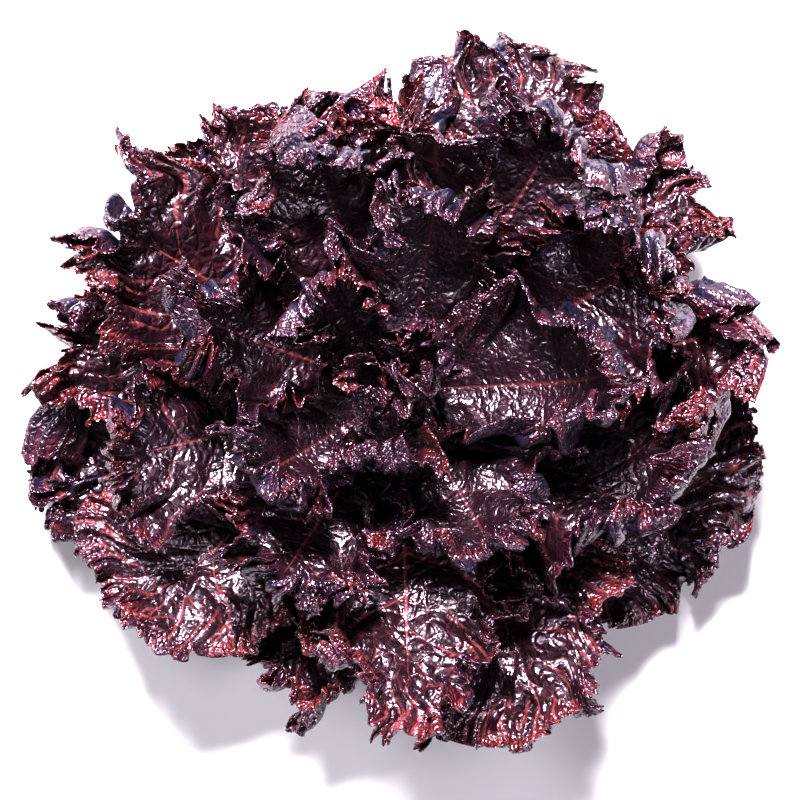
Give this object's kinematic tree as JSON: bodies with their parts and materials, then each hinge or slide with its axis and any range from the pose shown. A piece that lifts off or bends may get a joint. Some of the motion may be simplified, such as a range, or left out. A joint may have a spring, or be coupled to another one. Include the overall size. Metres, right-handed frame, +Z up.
{
  "type": "lollo rosso lettuce",
  "caption": "Open head of frilly, puckered dark red lettuce leaves set in a spiral round a short cut stem, standing on its cut face.",
  "frame": {"origin": "centre of the stem's cut face, on the plane the head stands on", "axes": "+Z up along the stem through the heart, +X to the right and +Y to the top of the head seen from above"},
  "size_m": [0.2763, 0.2637, 0.1063],
  "materials": {
    "leaf_blade": "satin",
    "stem_flesh": "matte"
  },
  "bodies": {
    "root": {"cut_stem": "stem_flesh", "outer_leaf_01": "leaf_blade", "outer_leaf_02": "leaf_blade", "outer_leaf_03": "leaf_blade", "outer_leaf_04": "leaf_blade", "outer_leaf_05": "leaf_blade", "outer_leaf_06": "leaf_blade", "outer_leaf_07": "leaf_blade", "outer_leaf_08": "leaf_blade", "outer_leaf_09": "leaf_blade", "outer_leaf_10": "leaf_blade", "outer_leaf_11": "leaf_blade", "outer_leaf_12": "leaf_blade", "outer_leaf_13": "leaf_blade", "middle_leaf_01": "leaf_blade", "middle_leaf_02": "leaf_blade", "middle_leaf_03": "leaf_blade", "middle_leaf_04": "leaf_blade", "middle_leaf_05": "leaf_blade", "middle_leaf_06": "leaf_blade", "middle_leaf_07": "leaf_blade", "inner_leaf_01": "leaf_blade", "inner_leaf_02": "leaf_blade", "inner_leaf_03": "leaf_blade", "inner_leaf_04": "leaf_blade", "inner_leaf_05": "leaf_blade", "heart_leaf_01": "leaf_blade", "heart_leaf_02": "leaf_blade", "heart_leaf_03": "leaf_blade", "heart_leaf_04": "leaf_blade", "heart_leaf_05": "leaf_blade"}
  },
  "joints": []
}
